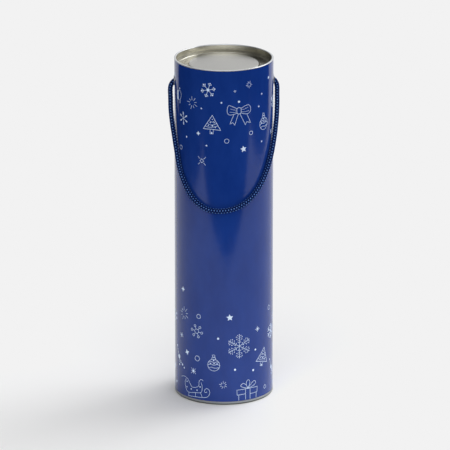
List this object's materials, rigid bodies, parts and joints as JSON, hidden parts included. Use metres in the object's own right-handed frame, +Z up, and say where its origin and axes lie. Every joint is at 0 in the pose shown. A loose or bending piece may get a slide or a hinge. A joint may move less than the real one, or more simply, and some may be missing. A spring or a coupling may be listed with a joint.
{
  "type": "cookie tin",
  "caption": "Tall cylindrical tin with a printed glossy wall, a recessed metal plug lid, a metal base and a cord handle that hangs from eyelets.",
  "frame": {"origin": "centre of the foot, where the tin stands", "axes": "+Z up along the tin's axis, -Y to the front, where the cord handle hangs, +X and -X to the two eyelets"},
  "size_m": [0.1034, 0.0952, 0.32],
  "materials": {
    "board": "plain wound greyboard",
    "printed_sheet": "glossy film-laminated print, white line motifs on blue",
    "foil": "bright rolled foil",
    "tinplate": "bright tinplate, lightly streaked",
    "eyelet_metal": "nickel plated",
    "cord": "braided navy cord"
  },
  "bodies": {
    "tin_body": {"board_tube": "board", "printed_wrap": "printed_sheet", "foil_liner": "foil", "base_end": "tinplate", "eyelet_left": "eyelet_metal", "eyelet_right": "eyelet_metal"},
    "lid": {"lid": "tinplate"},
    "handle": {"handle_cord": "cord", "knot_left": "cord", "knot_right": "cord"}
  },
  "joints": [
    {"name": "lid_lift", "type": "slide", "parent": "tin_body", "child": "lid", "axis": [0, 0, 1], "range_m": [0, 0.05]},
    {"name": "handle_swing", "type": "hinge", "parent": "tin_body", "child": "handle", "pos_m": [0, 0, 0.299], "axis": [-1, 0, 0], "range_deg": [0, 310]}
  ]
}
